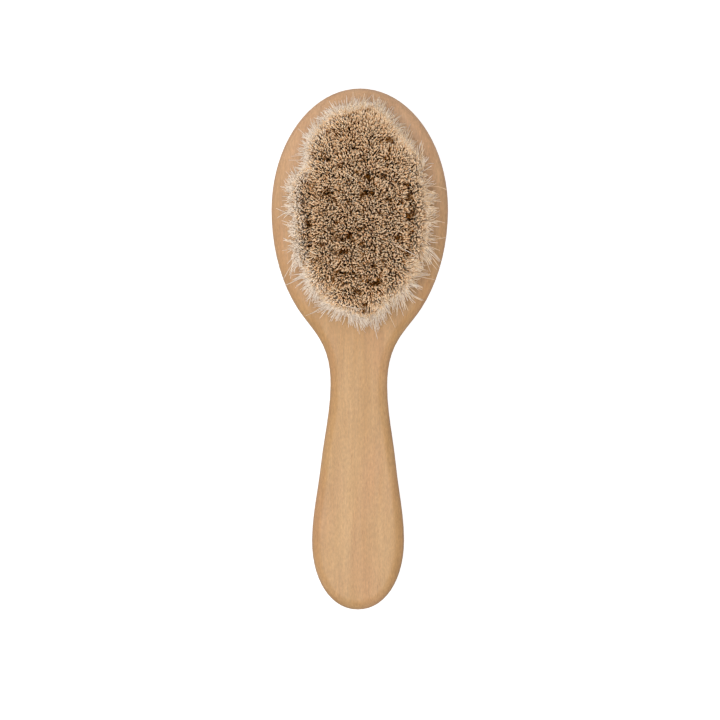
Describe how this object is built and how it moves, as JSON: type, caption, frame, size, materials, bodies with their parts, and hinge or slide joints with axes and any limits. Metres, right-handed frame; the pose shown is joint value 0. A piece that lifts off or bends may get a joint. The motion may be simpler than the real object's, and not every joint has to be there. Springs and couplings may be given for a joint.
{
  "type": "soft hand brush",
  "caption": "Oval wooden hand brush with a paddle handle and a staggered field of soft, level-trimmed hair tufts, each held in a blind hole by a flat metal anchor.",
  "frame": {"origin": "below the middle of the bounding box, on the flat back that the brush lies on", "axes": "+Z out of the hair face, +Y from the handle to the crown of the head, +X to the right seen from the hair side"},
  "size_m": [0.061, 0.18, 0.032],
  "materials": {
    "wood": "pale close-grained hardwood with fine lengthwise grain, sanded and lightly oiled to a satin",
    "hair": "soft natural hair, cream along the shafts and brown-beige at the trimmed tips",
    "anchor_metal": "plain flat-rolled wire"
  },
  "bodies": {
    "root": {"brush_body": "wood", "tuft_a1": "hair", "tuft_a2": "hair", "tuft_a3": "hair", "tuft_a4": "hair", "tuft_b1": "hair", "tuft_b2": "hair", "tuft_b3": "hair", "tuft_b4": "hair", "tuft_b5": "hair", "tuft_b6": "hair", "tuft_b7": "hair", "tuft_b8": "hair", "tuft_c1": "hair", "tuft_c2": "hair", "tuft_c3": "hair", "tuft_c4": "hair", "tuft_c5": "hair", "tuft_c6": "hair", "tuft_c7": "hair", "tuft_c8": "hair", "tuft_c9": "hair", "tuft_c10": "hair", "tuft_c11": "hair", "tuft_d1": "hair", "tuft_d2": "hair", "tuft_d3": "hair", "tuft_d4": "hair", "tuft_d5": "hair", "tuft_d6": "hair", "tuft_d7": "hair", "tuft_d8": "hair", "tuft_d9": "hair", "tuft_d10": "hair", "tuft_e1": "hair", "tuft_e2": "hair", "tuft_e3": "hair", "tuft_e4": "hair", "tuft_e5": "hair", "tuft_e6": "hair", "tuft_e7": "hair", "tuft_e8": "hair", "tuft_f1": "hair", "tuft_f2": "hair", "tuft_f3": "hair", "tuft_f4": "hair", "tuft_f5": "hair", "anchors_a": "anchor_metal", "anchors_b": "anchor_metal", "anchors_c": "anchor_metal", "anchors_d": "anchor_metal", "anchors_e": "anchor_metal", "anchors_f": "anchor_metal"}
  },
  "joints": []
}
